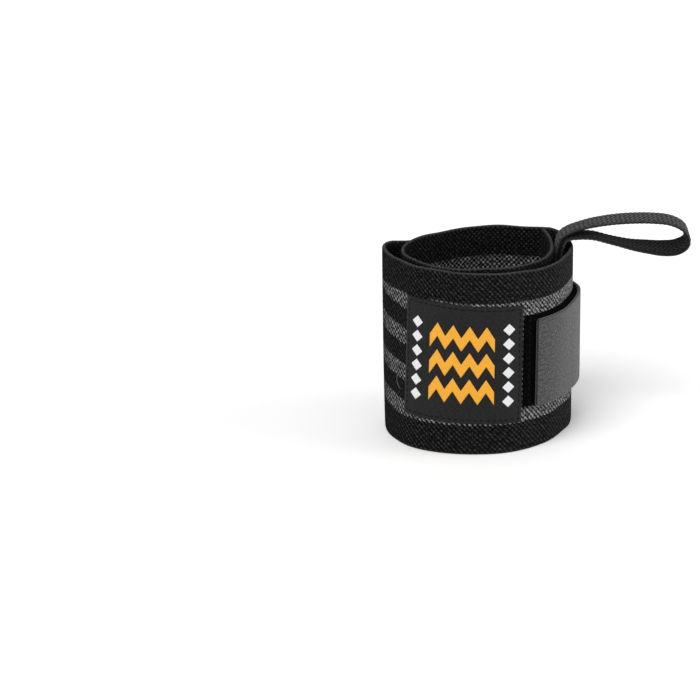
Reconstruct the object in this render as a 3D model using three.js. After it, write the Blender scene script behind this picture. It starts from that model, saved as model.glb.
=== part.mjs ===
// Wrist wrap, rolled up and standing on its lower edge.
// One long woven strap is wound nearly twice round an open wrist hole, clockwise seen from above.
// Its free inner end is at the back right, its outer end at the back, where the closure tab is sewn on.
// Millimetres, +Z up, +X towards the thumb loop, -Y towards the label.

import * as THREE from "three";

// Strap
const STRAP_WIDTH = 77;
const STRAP_LENGTH = 408;
const STRAP_THICKNESS = 1.4;

// Roll: radius of the middle of the inner turn's wall, and the play between the turns
const WRIST_RADIUS = 32;
const LAYER_GAP = 0.6;
const CORNER_GAP = 1.1;
const ROLL_SLACK = 7;
const ROLL_LEAN = 3.2;
const RIM_RISE = 1.8;

// Sewn-on pieces, and the clearance between faces that touch
const SEAT_GAP = 0.3;
const LABEL_LENGTH = 50;
const LABEL_HEIGHT = 50;
const LABEL_THICKNESS = 0.5;
const LABEL_TILT = 1.8;
const PILE_LENGTH = 82;
const PILE_HEIGHT = 39;
const PILE_THICKNESS = 1.5;
const PILE_TO_LABEL = 1.5;
const LABEL_RIGHT_BEARING = -62;

// Closure tab
const TAB_WIDTH = 37;
const TAB_LENGTH = 118.5;
const TAB_THICKNESS = 1.3;
const TAB_SEWN_LENGTH = 20;
const TAB_DROP = 1;
const TAB_PACE = 6;

// Thumb loop: a flat elastic tape, both ends sewn to the outer face of the inner turn
const TAPE_WIDTH = 11;
const TAPE_THICKNESS = 1.5;
const LOOP_REACH = 48.5;
const LOOP_HEIGHT = 13.4;
const LOOP_BEARING = 13;
const LOOP_SEWN_DEPTH = 24;
const LOOP_TWIST = 17;

// Degrees: a turn, the bearing from +X where the strap starts, the turn in which the outer wall parts from
// its free end, and the one in which it eases out towards it
const FULL_TURN = 360;
const START_BEARING = 40;
const PARTING_TURN = 15;
const CORNER_TURN = 20;

// How fast the outer turn's lean fades from the foot up, and its rise from the rim down
const LEAN_FADE = 1.5;
const RISE_FADE = 2;

// How far the loop's width turns along the loop as it twists
const TWIST_SHEAR = 0.2;

// Faces of the meshes: length of one along the strap and the patches, and counts
const STRAP_COLUMN = 2.9;
const STRAP_MESH_ROWS = 4;
const PATCH_COLUMN = 3;
const PATCH_MESH_ROWS = 3;
const LOOP_MESH_COLUMNS = 64;
const LOOP_MESH_ROWS = 2;

// Inner turn: bearing in degrees from +X, reach of the wall's middle as a share of WRIST_RADIUS
const RING_ROWS = [
  { bearing: 40, reach: 1.219 },
  { bearing: 22, reach: 1.07 },
  { bearing: 5, reach: 1.006 },
  { bearing: -15, reach: 0.998 },
  { bearing: -38, reach: 1.02 },
  { bearing: -60, reach: 1.004 },
  { bearing: -85, reach: 1.022 },
  { bearing: -105, reach: 1.036 },
  { bearing: -130, reach: 0.998 },
  { bearing: -152, reach: 0.978 },
  { bearing: -175, reach: 0.919 },
  { bearing: -200, reach: 0.831 },
  { bearing: -228, reach: 0.764 },
  { bearing: -250, reach: 0.8 },
  { bearing: -270, reach: 0.878 },
  { bearing: -290, reach: 1.012 },
  { bearing: -305, reach: 1.13 },
];

// Outer turn, by the bearing of the inner turn that it passes:
// shares of ROLL_SLACK, of ROLL_LEAN at the foot and of RIM_RISE at the rim
const ROLL_ROWS = [
  { bearing: 40, slack: 0.07, lean: 0, rise: 0 },
  { bearing: 30, slack: 0.64, lean: 0.1, rise: -0.5 },
  { bearing: 16, slack: 0.98, lean: 0.2, rise: -1 },
  { bearing: 0, slack: 0.76, lean: 0.4, rise: -1 },
  { bearing: -18, slack: 0.53, lean: 0.1, rise: -0.8 },
  { bearing: -40, slack: 0.46, lean: 0, rise: -0.6 },
  { bearing: -65, slack: 0.66, lean: -0.1, rise: -0.3 },
  { bearing: -85, slack: 0.6, lean: -0.1, rise: 0 },
  { bearing: -106, slack: 0.4, lean: 0.3, rise: 0 },
  { bearing: -130, slack: 0.42, lean: 0.75, rise: 0 },
  { bearing: -147, slack: 0.4, lean: 0.45, rise: 0.1 },
  { bearing: -160, slack: 0.6, lean: 0, rise: 0.2 },
  { bearing: -174, slack: 0.82, lean: -0.5, rise: 0.4 },
  { bearing: -184, slack: 0.84, lean: -0.5, rise: 0.4 },
  { bearing: -191, slack: 0.72, lean: -0.4, rise: 0.2 },
  { bearing: -196, slack: 0.4, lean: -0.2, rise: -0.2 },
  { bearing: -202, slack: 0.12, lean: 0, rise: -0.6 },
  { bearing: -212, slack: 0.02, lean: 0, rise: -0.9 },
  { bearing: -250, slack: 0, lean: 0, rise: -0.9 },
  { bearing: -320, slack: 0, lean: 0, rise: -0.5 },
];

// Thumb loop's middle line, from its lower sewn end round the tip to the upper one.
// out: from the outer face of the outer turn, as a share of LOOP_REACH (below zero is over the gap),
// up: above the rim, as a share of LOOP_HEIGHT, twist: of the tape, as a share of LOOP_TWIST.
const LOOP_ROWS = [
  { out: -0.07, up: 0.25, twist: 0 },
  { out: 0.03, up: 0.32, twist: 0 },
  { out: 0.16, up: 0.31, twist: 0 },
  { out: 0.28, up: 0.2, twist: 0 },
  { out: 0.39, up: 0.1, twist: 0.1 },
  { out: 0.5, up: 0.01, twist: 0.35 },
  { out: 0.62, up: -0.05, twist: 0.7 },
  { out: 0.76, up: -0.1, twist: 1 },
  { out: 0.88, up: -0.06, twist: 1 },
  { out: 0.955, up: 0.12, twist: 0.8 },
  { out: 0.965, up: 0.36, twist: 0.6 },
  { out: 0.925, up: 0.6, twist: 0.4 },
  { out: 0.82, up: 0.79, twist: 0.3 },
  { out: 0.66, up: 0.86, twist: 0.25 },
  { out: 0.4, up: 0.84, twist: 0.2 },
  { out: 0.18, up: 0.73, twist: 0.1 },
  { out: 0.05, up: 0.61, twist: 0 },
  { out: -0.05, up: 0.47, twist: 0 },
  { out: -0.11, up: 0.3, twist: 0 },
];

// The loop's sewn ends: depth below the rim as a share of LOOP_SEWN_DEPTH, way off the seat in tape thicknesses
const LOOP_FEET = [
  { down: 0.02, off: 0.6 },
  { down: 0.25, off: 0.15 },
  { down: 0.5, off: 0.05 },
  { down: 1, off: 0.05 },
];

// Smooth value of one column of a table at a bearing; the rows run from high to low bearing
function columnAt(rows, bearing, column) {
  const last = rows.length - 1;
  let row = 0;
  while (row < last - 1 && bearing < rows[row + 1].bearing) row += 1;
  const before = rows[Math.max(row - 1, 0)];
  const from = rows[row];
  const to = rows[row + 1];
  const after = rows[Math.min(row + 2, last)];
  const span = to.bearing - from.bearing;
  const share = THREE.MathUtils.clamp((bearing - from.bearing) / span, 0, 1);
  const slopeIn = (span * (to[column] - before[column])) / (to.bearing - before.bearing);
  const slopeOut = (span * (after[column] - from[column])) / (after.bearing - from.bearing);
  const square = share * share;
  const cube = square * share;
  return (
    (2 * cube - 3 * square + 1) * from[column] +
    (cube - 2 * square + share) * slopeIn +
    (3 * square - 2 * cube) * to[column] +
    (cube - square) * slopeOut
  );
}

// The inner turn ends where the wall passes outside its own free end
const cornerReach = RING_ROWS[0].reach + (STRAP_THICKNESS + CORNER_GAP) / WRIST_RADIUS;
const ringRows = [...RING_ROWS, { bearing: START_BEARING - FULL_TURN, reach: cornerReach }];
const rollLift = CORNER_GAP - LAYER_GAP;

function wallRadius(bearing) {
  const under = bearing + FULL_TURN;
  if (under >= START_BEARING) return WRIST_RADIUS * columnAt(ringRows, bearing, "reach");
  const corner = rollLift * THREE.MathUtils.smoothstep(under, START_BEARING - CORNER_TURN, START_BEARING);
  const slack = Math.max(columnAt(ROLL_ROWS, under, "slack"), 0) * ROLL_SLACK;
  return wallRadius(under) + STRAP_THICKNESS + LAYER_GAP + corner + slack;
}

function planPoint(bearing) {
  const angle = THREE.MathUtils.degToRad(bearing);
  const radius = wallRadius(bearing);
  return new THREE.Vector2(radius * Math.cos(angle), radius * Math.sin(angle));
}

// The strap's route in plan, measured along its middle
const BEARING_STEP = 0.5;
const TANGENT_STEP = 0.4;
const route = [{ bearing: START_BEARING, length: 0, point: planPoint(START_BEARING) }];
while (route[route.length - 1].length < STRAP_LENGTH) {
  const last = route[route.length - 1];
  const bearing = last.bearing - BEARING_STEP;
  const point = planPoint(bearing);
  route.push({ bearing, length: last.length + point.distanceTo(last.point), point });
}

function bearingAtLength(length) {
  let index = 1;
  while (index < route.length - 1 && route[index].length < length) index += 1;
  const from = route[index - 1];
  const to = route[index];
  const share = (length - from.length) / (to.length - from.length);
  return THREE.MathUtils.lerp(from.bearing, to.bearing, share);
}

function lengthAtBearing(bearing) {
  const index = THREE.MathUtils.clamp((START_BEARING - bearing) / BEARING_STEP, 0, route.length - 1);
  const whole = Math.min(Math.floor(index), route.length - 2);
  return THREE.MathUtils.lerp(route[whole].length, route[whole + 1].length, index - whole);
}

// Point of the strap's wall: length along the strap, height as a share of its width, way off its middle
function strapPoint(length, height, off) {
  const bearing = bearingAtLength(length);
  const ahead = planPoint(bearing - TANGENT_STEP);
  const behind = planPoint(bearing + TANGENT_STEP);
  const along = ahead.sub(behind).normalize();
  const outward = new THREE.Vector2(-along.y, along.x);
  const point = planPoint(bearing).addScaledVector(outward, off);
  const under = bearing + FULL_TURN;
  const outer = THREE.MathUtils.smoothstep(START_BEARING - under, 0, PARTING_TURN);
  const lean = outer * ROLL_LEAN * columnAt(ROLL_ROWS, under, "lean") * (1 - height) ** LEAN_FADE;
  point.addScaledVector(outward, lean);
  const rise = outer * RIM_RISE * columnAt(ROLL_ROWS, under, "rise") * height ** RISE_FADE;
  return new THREE.Vector3(point.x, point.y, STRAP_WIDTH * height + rise);
}

// Closed body between two faces, each a grid of points; faceAt gives a point by shares along and up, and side
function shellGeometry(columns, rows, faceAt) {
  const positions = [];
  const faces = [];
  for (const side of [0, 1]) {
    for (let column = 0; column <= columns; column += 1) {
      for (let row = 0; row <= rows; row += 1) {
        positions.push(...faceAt(column / columns, row / rows, side).toArray());
      }
    }
  }
  const corner = (side, column, row) => side * (columns + 1) * (rows + 1) + column * (rows + 1) + row;
  const quad = (a, b, c, d) => faces.push(a, b, c, a, c, d);
  for (let column = 0; column < columns; column += 1) {
    for (let row = 0; row < rows; row += 1) {
      for (const side of [0, 1]) {
        const ring = [
          corner(side, column, row),
          corner(side, column, row + 1),
          corner(side, column + 1, row + 1),
          corner(side, column + 1, row),
        ];
        if (side === 0) ring.reverse();
        quad(...ring);
      }
    }
    quad(corner(0, column, 0), corner(1, column, 0), corner(1, column + 1, 0), corner(0, column + 1, 0));
    quad(
      corner(0, column + 1, rows),
      corner(1, column + 1, rows),
      corner(1, column, rows),
      corner(0, column, rows),
    );
  }
  for (let row = 0; row < rows; row += 1) {
    quad(corner(0, 0, row), corner(0, 0, row + 1), corner(1, 0, row + 1), corner(1, 0, row));
    quad(
      corner(0, columns, row + 1),
      corner(0, columns, row),
      corner(1, columns, row),
      corner(1, columns, row + 1),
    );
  }
  const geometry = new THREE.BufferGeometry();
  geometry.setAttribute("position", new THREE.Float32BufferAttribute(positions, 3));
  geometry.setIndex(faces);
  geometry.computeVertexNormals();
  return geometry;
}

// Strap: the whole wall
const strapHalf = STRAP_THICKNESS / 2;
function strapGeometry() {
  const columns = Math.round(STRAP_LENGTH / STRAP_COLUMN);
  return shellGeometry(columns, STRAP_MESH_ROWS, (along, up, side) =>
    strapPoint(along * STRAP_LENGTH, up, side ? strapHalf : -strapHalf),
  );
}

// A piece sewn on the strap's outer face
function patchGeometry({ start, length, height, thickness, tilt }) {
  const seat = strapHalf + SEAT_GAP;
  const slope = Math.tan(THREE.MathUtils.degToRad(tilt));
  return shellGeometry(Math.round(length / PATCH_COLUMN), PATCH_MESH_ROWS, (along, up, side) => {
    const middle = 0.5 + (slope * (along - 0.5) * length) / STRAP_WIDTH;
    const share = middle + ((up - 0.5) * height) / STRAP_WIDTH;
    return strapPoint(start + along * length, share, seat + side * thickness);
  });
}

const labelStart = lengthAtBearing(LABEL_RIGHT_BEARING - FULL_TURN);
const label = {
  start: labelStart,
  length: LABEL_LENGTH,
  height: LABEL_HEIGHT,
  thickness: LABEL_THICKNESS,
  tilt: LABEL_TILT,
};
const pilePatch = {
  start: labelStart - PILE_TO_LABEL - PILE_LENGTH,
  length: PILE_LENGTH,
  height: PILE_HEIGHT,
  thickness: PILE_THICKNESS,
  tilt: 0,
};

// Closure tab: sewn on the strap's end, then round the back right corner and over the pile patch
const tabOnStrap = strapHalf + SEAT_GAP + TAB_THICKNESS / 2;
const tabOnPile = tabOnStrap + PILE_THICKNESS + SEAT_GAP;
function tabRoute(height) {
  const plan = [];
  const addPoint = (length, off) => plan.push(strapPoint(length, height / STRAP_WIDTH, off).setZ(height));
  for (let back = TAB_SEWN_LENGTH; back > 0; back -= TAB_PACE) addPoint(STRAP_LENGTH - back, tabOnStrap);
  addPoint(STRAP_LENGTH, tabOnStrap);
  const underEnd = lengthAtBearing(bearingAtLength(STRAP_LENGTH) + FULL_TURN);
  const crossed = TAB_LENGTH - TAB_SEWN_LENGTH;
  for (let ahead = TAB_PACE; ahead < crossed + TAB_PACE; ahead += TAB_PACE) {
    addPoint(underEnd + ahead, tabOnPile);
  }
  return new THREE.CatmullRomCurve3(plan, false, "centripetal");
}

function tabGeometry() {
  const middle = STRAP_WIDTH / 2 - TAB_DROP;
  const curves = [-0.5, 0, 0.5].map((share) => tabRoute(middle + share * TAB_WIDTH));
  const reach = Math.min(TAB_LENGTH / curves[1].getLength(), 1);
  const columns = Math.round(TAB_LENGTH / PATCH_COLUMN);
  return shellGeometry(columns, curves.length - 1, (along, up, side) => {
    const curve = curves[Math.round(up * (curves.length - 1))];
    const way = curve.getTangentAt(along * reach);
    const outward = new THREE.Vector3(-way.y, way.x, 0).normalize();
    return curve.getPointAt(along * reach).addScaledVector(outward, (side - 0.5) * TAB_THICKNESS);
  });
}

// Thumb loop: a flat tape from the gap between the turns, out over the rim and back
function loopGeometry() {
  const shear = TWIST_SHEAR * Math.cos(THREE.MathUtils.degToRad(LOOP_BEARING));
  const inner = strapPoint(lengthAtBearing(LOOP_BEARING), 0.5, strapHalf + SEAT_GAP + TAPE_THICKNESS / 2);
  const outer = strapPoint(lengthAtBearing(LOOP_BEARING - FULL_TURN), 1, strapHalf);
  const rim = outer.z;
  const spacing = TAPE_THICKNESS + SEAT_GAP;
  const place = (x, z) => new THREE.Vector3(x, inner.y, z);
  const over = LOOP_ROWS.map((row) => ({
    point: place(outer.x + row.out * LOOP_REACH, rim + row.up * LOOP_HEIGHT),
    twist: row.twist,
  }));
  const sewn = (gap) =>
    LOOP_FEET.map((row) => ({
      point: place(inner.x + gap + row.off * TAPE_THICKNESS, rim - row.down * LOOP_SEWN_DEPTH),
      twist: 0,
    }));
  const lowerEnd = sewn(spacing).reverse();
  const upperEnd = sewn(0);
  const stops = [...lowerEnd, ...over, ...upperEnd];
  const curve = new THREE.CatmullRomCurve3(stops.map((stop) => stop.point), false, "centripetal");
  return shellGeometry(LOOP_MESH_COLUMNS, LOOP_MESH_ROWS, (along, up, side) => {
    const middle = curve.getPointAt(along);
    const way = curve.getTangentAt(along);
    const position = curve.getUtoTmapping(along) * (stops.length - 1);
    const stop = Math.min(Math.floor(position), stops.length - 2);
    const twist = THREE.MathUtils.lerp(stops[stop].twist, stops[stop + 1].twist, position - stop);
    const turn = THREE.MathUtils.degToRad(twist * LOOP_TWIST);
    const across = new THREE.Vector3(-shear * Math.sin(turn), Math.cos(turn), Math.sin(turn));
    across.addScaledVector(way, -across.dot(way)).normalize();
    const outward = new THREE.Vector3().crossVectors(across, way);
    return middle
      .addScaledVector(across, (up - 0.5) * TAPE_WIDTH)
      .addScaledVector(outward, (side - 0.5) * TAPE_THICKNESS);
  });
}

// Finishes
const knit = new THREE.MeshStandardMaterial({ color: 0x1b1b1c, roughness: 0.95, metalness: 0 });
const satin = new THREE.MeshStandardMaterial({ color: 0x2a2a2d, roughness: 0.6, metalness: 0 });
const velvet = new THREE.MeshStandardMaterial({ color: 0x0c0c0d, roughness: 1, metalness: 0 });
const hook = new THREE.MeshStandardMaterial({ color: 0x5c5c5f, roughness: 0.85, metalness: 0 });
const elastic = new THREE.MeshStandardMaterial({ color: 0x222224, roughness: 0.9, metalness: 0 });

function mesh(name, geometry, material) {
  const piece = new THREE.Mesh(geometry, material);
  piece.name = name;
  return piece;
}

const group = new THREE.Group();
group.add(
  mesh("strap", strapGeometry(), knit),
  mesh("label", patchGeometry(label), satin),
  mesh("pile_patch", patchGeometry(pilePatch), velvet),
  mesh("closure_tab", tabGeometry(), hook),
  mesh("thumb_loop", loopGeometry(), elastic),
);

// The origin is the middle of the whole wrap's footprint, on the surface it stands on
const box = new THREE.Box3().setFromObject(group);
group.position.set(-(box.min.x + box.max.x) / 2, -(box.min.y + box.max.y) / 2, -box.min.z);

export default group;
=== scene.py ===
"""Rolled-up wrist wrap: the finish of every surface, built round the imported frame.

Lengths are in metres, +Z is up and +X points towards the thumb loop.
"""

import logging
import math
from dataclasses import dataclass, field
from enum import Enum
from typing import NamedTuple

import bpy
import numpy as np
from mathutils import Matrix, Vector


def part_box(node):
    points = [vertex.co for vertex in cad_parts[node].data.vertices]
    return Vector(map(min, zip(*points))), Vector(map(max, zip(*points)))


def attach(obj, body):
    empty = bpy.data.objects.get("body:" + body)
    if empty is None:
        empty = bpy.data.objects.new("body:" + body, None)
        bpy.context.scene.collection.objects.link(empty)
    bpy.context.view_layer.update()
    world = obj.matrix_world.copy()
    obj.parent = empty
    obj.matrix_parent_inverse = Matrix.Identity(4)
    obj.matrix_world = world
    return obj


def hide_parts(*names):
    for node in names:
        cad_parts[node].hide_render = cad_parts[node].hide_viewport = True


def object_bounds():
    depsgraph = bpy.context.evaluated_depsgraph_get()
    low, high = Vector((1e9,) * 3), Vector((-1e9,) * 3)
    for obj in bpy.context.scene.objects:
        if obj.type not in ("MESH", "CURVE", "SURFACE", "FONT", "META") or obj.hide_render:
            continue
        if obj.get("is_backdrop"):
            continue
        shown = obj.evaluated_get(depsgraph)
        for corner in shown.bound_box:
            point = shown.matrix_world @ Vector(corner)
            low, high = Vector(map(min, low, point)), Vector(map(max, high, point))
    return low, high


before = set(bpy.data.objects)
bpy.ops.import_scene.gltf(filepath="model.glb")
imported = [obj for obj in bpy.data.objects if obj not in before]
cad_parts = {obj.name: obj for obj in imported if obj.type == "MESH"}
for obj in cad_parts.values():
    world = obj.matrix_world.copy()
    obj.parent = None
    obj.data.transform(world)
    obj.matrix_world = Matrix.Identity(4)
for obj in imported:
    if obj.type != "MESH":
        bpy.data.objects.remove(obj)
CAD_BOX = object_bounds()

LOG = logging.getLogger("wrist_wrap")
MM = 0.001
FULL_TURN = 360.0
STITCH_STEP = 1 * MM
STITCH_LIFT = 0.02 * MM
LABEL_BEARING = -62.0
PILE_GAP = 0.5 * MM


class Side(Enum):
    """Which face of a cloth piece a point lies on, as the materials read it."""

    FRONT = 1.0
    BACK = 0.0


class RingRow(NamedTuple):
    """Inner turn: bearing in degrees from +X, reach as a share of the wrist radius."""

    bearing: float
    reach: float


class RollRow(NamedTuple):
    """Outer turn, by the bearing it passes: shares of the slack, the foot's lean and the rim's rise."""

    bearing: float
    slack: float
    lean: float
    rise: float


class LoopRow(NamedTuple):
    """Thumb loop: shares of its reach beyond the roll, its height above the rim and its twist."""

    out: float
    up: float
    twist: float


class FootRow(NamedTuple):
    """Sewn end of the loop: depth as a share of the sewn depth, way off its seat in tape thicknesses."""

    down: float
    off: float


class ThreadRow(NamedTuple):
    """Loose thread: shares of its reach past the label, its drop and its lift off the knit."""

    past: float
    down: float
    off: float


class Wave(NamedTuple):
    """Ripple along the strap: strength, length of a radian, turn from edge to edge, first turn."""

    strength: float
    radian: float
    slant: float
    first: float


class Ramp(NamedTuple):
    """Smooth step from a first number to a last one, while a value goes from low to high."""

    low: float
    high: float
    first: float = 0.0
    last: float = 1.0


class Grain(NamedTuple):
    """Noise over a surface: lumps for each unit along and up, its detail and its seed."""

    along: float
    up: float
    detail: float = 2.0
    seed: float = 0.0


RING_ROWS = (
    RingRow(40, 1.219),
    RingRow(22, 1.07),
    RingRow(5, 1.006),
    RingRow(-15, 0.998),
    RingRow(-38, 1.02),
    RingRow(-60, 1.004),
    RingRow(-85, 1.022),
    RingRow(-105, 1.036),
    RingRow(-130, 0.998),
    RingRow(-152, 0.978),
    RingRow(-175, 0.919),
    RingRow(-200, 0.831),
    RingRow(-228, 0.764),
    RingRow(-250, 0.8),
    RingRow(-270, 0.878),
    RingRow(-290, 1.012),
    RingRow(-305, 1.13),
)

ROLL_ROWS = (
    RollRow(40, 0.07, 0, 0),
    RollRow(30, 0.64, 0.1, -0.5),
    RollRow(16, 0.98, 0.2, -1),
    RollRow(0, 0.76, 0.4, -1),
    RollRow(-18, 0.53, 0.1, -0.8),
    RollRow(-40, 0.46, 0, -0.6),
    RollRow(-65, 0.66, -0.1, -0.3),
    RollRow(-85, 0.6, -0.1, 0),
    RollRow(-106, 0.4, 0.3, 0),
    RollRow(-130, 0.42, 0.75, 0),
    RollRow(-147, 0.4, 0.45, 0.1),
    RollRow(-160, 0.6, 0, 0.2),
    RollRow(-174, 0.82, -0.5, 0.4),
    RollRow(-184, 0.84, -0.5, 0.4),
    RollRow(-191, 0.72, -0.4, 0.2),
    RollRow(-196, 0.4, -0.2, -0.2),
    RollRow(-202, 0.12, 0, -0.6),
    RollRow(-212, 0.02, 0, -0.9),
    RollRow(-250, 0, 0, -0.9),
    RollRow(-320, 0, 0, -0.5),
)

LOOP_ROWS = (
    LoopRow(-0.07, 0.25, 0),
    LoopRow(0.03, 0.32, 0),
    LoopRow(0.16, 0.31, 0),
    LoopRow(0.28, 0.2, 0),
    LoopRow(0.39, 0.1, 0.1),
    LoopRow(0.5, 0.01, 0.35),
    LoopRow(0.62, -0.05, 0.7),
    LoopRow(0.76, -0.1, 1),
    LoopRow(0.88, -0.06, 1),
    LoopRow(0.955, 0.12, 0.8),
    LoopRow(0.965, 0.36, 0.6),
    LoopRow(0.925, 0.6, 0.4),
    LoopRow(0.82, 0.79, 0.3),
    LoopRow(0.66, 0.86, 0.25),
    LoopRow(0.4, 0.84, 0.2),
    LoopRow(0.18, 0.73, 0.1),
    LoopRow(0.05, 0.61, 0),
    LoopRow(-0.05, 0.47, 0),
    LoopRow(-0.11, 0.3, 0),
)

FOOT_ROWS = (
    FootRow(0.02, 0.6),
    FootRow(0.25, 0.15),
    FootRow(0.5, 0.05),
    FootRow(1, 0.05),
)

THREAD_ROWS = (
    ThreadRow(0, 0, 0),
    ThreadRow(7 / 15, 0.1, 5 / 9),
    ThreadRow(13 / 15, 0.325, 1),
    ThreadRow(1, 0.6, 8 / 9),
    ThreadRow(0.8, 0.85, 5 / 9),
    ThreadRow(0.4, 1, 5 / 18),
)

UNEVEN_WAVES = (Wave(1, 6.1 * MM, 5, 0), Wave(0.7, 3.7 * MM, -4, 1))
RIM_WAVES = (Wave(1, 5.3 * MM, 0, 0), Wave(0.6, 2.9 * MM, 0, 2))


def smooth_step(value: np.ndarray, low: float, high: float) -> np.ndarray:
    """Ease from 0 to 1 between two values."""
    share = np.clip((value - low) / (high - low), 0, 1)
    return share * share * (3 - 2 * share)


def column_at(rows: tuple, column: str, at: np.ndarray) -> np.ndarray:
    """Smooth value of one column of a table whose bearings run from high to low.

    Args:
        rows: the table.
        column: the name of the column.
        at: bearings in degrees.

    Returns:
        One value for each bearing.
    """
    bearings = np.array([row.bearing for row in rows], float)
    values = np.array([getattr(row, column) for row in rows], float)
    last = len(rows) - 1
    row = np.clip(np.searchsorted(-bearings[1:], -at, side="left"), 0, last - 1)
    before, after = np.maximum(row - 1, 0), np.minimum(row + 2, last)
    span = bearings[row + 1] - bearings[row]
    share = np.clip((at - bearings[row]) / span, 0, 1)
    slope_in = span * (values[row + 1] - values[before]) / (bearings[row + 1] - bearings[before])
    slope_out = span * (values[after] - values[row]) / (bearings[after] - bearings[row])
    square, cube = share**2, share**3
    return (
        (2 * cube - 3 * square + 1) * values[row]
        + (cube - 2 * square + share) * slope_in
        + (3 * square - 2 * cube) * values[row + 1]
        + (cube - square) * slope_out
    )


def ripples(waves: tuple[Wave, ...], length: np.ndarray, height: np.ndarray) -> np.ndarray:
    """Sum of several waves, by length along the strap and share of its width."""
    turns = [length / wave.radian + wave.slant * height + wave.first for wave in waves]
    return sum(wave.strength * np.sin(turn) for wave, turn in zip(waves, turns))


@dataclass
class Roll:
    """The strap's route: nearly two turns round the wrist hole, and every point of its wall."""

    width: float = 77 * MM
    length: float = 408 * MM
    thickness: float = 1.4 * MM
    wrist_radius: float = 32 * MM
    layer_gap: float = 0.6 * MM
    corner_gap: float = 1.1 * MM
    corner_turn: float = 20.0
    slack: float = 7 * MM
    lean: float = 3.2 * MM
    lean_fade: float = 1.5
    rise: float = 1.8 * MM
    rise_fade: float = 2.0
    start: float = 40.0
    parting_turn: float = 15.0
    measured_turns: float = 2.4
    bearing_step: float = 0.5
    tangent_step: float = 0.4
    placing_samples: int = 400
    unevenness: float = 0.08 * MM
    rim_waver: float = 0.15 * MM
    shift: np.ndarray = field(default_factory=lambda: np.zeros(3))

    def __post_init__(self) -> None:
        """Measure the route and find where the frame's strap lies."""
        corner = RING_ROWS[0].reach + (self.thickness + self.corner_gap) / self.wrist_radius
        self.ring_rows = (*RING_ROWS, RingRow(self.start - FULL_TURN, corner))
        self.bearings = self.start - np.arange(0, self.measured_turns * FULL_TURN, self.bearing_step)
        steps = np.diff(self.plan(self.bearings), axis=0)
        self.lengths = np.concatenate([[0], np.cumsum(np.linalg.norm(steps, axis=1))])
        self.place()

    def place(self) -> None:
        """Line the route up with the strap of the frame."""
        along = np.linspace(0, self.length, self.placing_samples)[:, None]
        faces = np.array([[-0.5, 0.5]]) * self.thickness
        own = self.points(along, np.full_like(along, 0.5), faces).reshape(-1, 3)
        low, high = (np.array(corner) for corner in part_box("strap"))
        middle = (own.min(axis=0) + own.max(axis=0)) / 2
        self.shift = np.array([*((low + high) / 2 - middle)[:2], 0.0])

    def radius(self, bearing: np.ndarray) -> np.ndarray:
        """Reach of the wall's middle from the wrist hole's centre.

        Args:
            bearing: unwrapped bearings, smaller ones further along the strap.

        Returns:
            One reach for each bearing.
        """
        under = bearing + FULL_TURN
        inner = under >= self.start
        reach = self.wrist_radius * column_at(self.ring_rows, "reach", bearing)
        if inner.all():
            return reach
        parting = smooth_step(under, self.start - self.corner_turn, self.start)
        gap = self.layer_gap + (self.corner_gap - self.layer_gap) * parting
        slack = np.maximum(column_at(ROLL_ROWS, "slack", under), 0) * self.slack
        below = self.radius(np.where(inner, bearing, under))
        return np.where(inner, reach, below + self.thickness + gap + slack)

    def plan(self, bearing: np.ndarray) -> np.ndarray:
        """Points of the wall's middle in plan."""
        angle = np.radians(bearing)
        return self.radius(bearing)[..., None] * np.stack([np.cos(angle), np.sin(angle)], axis=-1)

    def length_at(self, bearing: float) -> float:
        """Length along the strap at an unwrapped bearing."""
        return float(np.interp(self.start - bearing, self.start - self.bearings, self.lengths))

    def bearing_at(self, length: float) -> float:
        """Unwrapped bearing at a length along the strap."""
        return float(np.interp(length, self.lengths, self.bearings))

    def points(self, length: np.ndarray, height: np.ndarray, off: np.ndarray) -> np.ndarray:
        """Points of the strap's wall.

        Args:
            length: length along the strap.
            height: height as a share of the strap's width.
            off: way off the wall's middle, outwards.

        Returns:
            One point for each, in the frame.
        """
        length, height, off = np.broadcast_arrays(length, height, off)
        bearing = np.interp(length, self.lengths, self.bearings)
        along = self.plan(bearing - self.tangent_step) - self.plan(bearing + self.tangent_step)
        along /= np.linalg.norm(along, axis=-1, keepdims=True)
        outward = np.stack([-along[..., 1], along[..., 0]], axis=-1)
        under = bearing + FULL_TURN
        outer = smooth_step(self.start - under, 0, self.parting_turn)
        above = np.clip(height, 0, 1)
        lean = outer * self.lean * column_at(ROLL_ROWS, "lean", under) * (1 - above) ** self.lean_fade
        way = off + lean + self.unevenness * ripples(UNEVEN_WAVES, length, height)
        flat = self.plan(bearing) + outward * way[..., None]
        rise = outer * self.rise * column_at(ROLL_ROWS, "rise", under)
        rise = rise + self.rim_waver * ripples(RIM_WAVES, length, height)
        up = self.width * height + rise * above**self.rise_fade
        return np.concatenate([flat, up[..., None]], axis=-1) + self.shift


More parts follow.
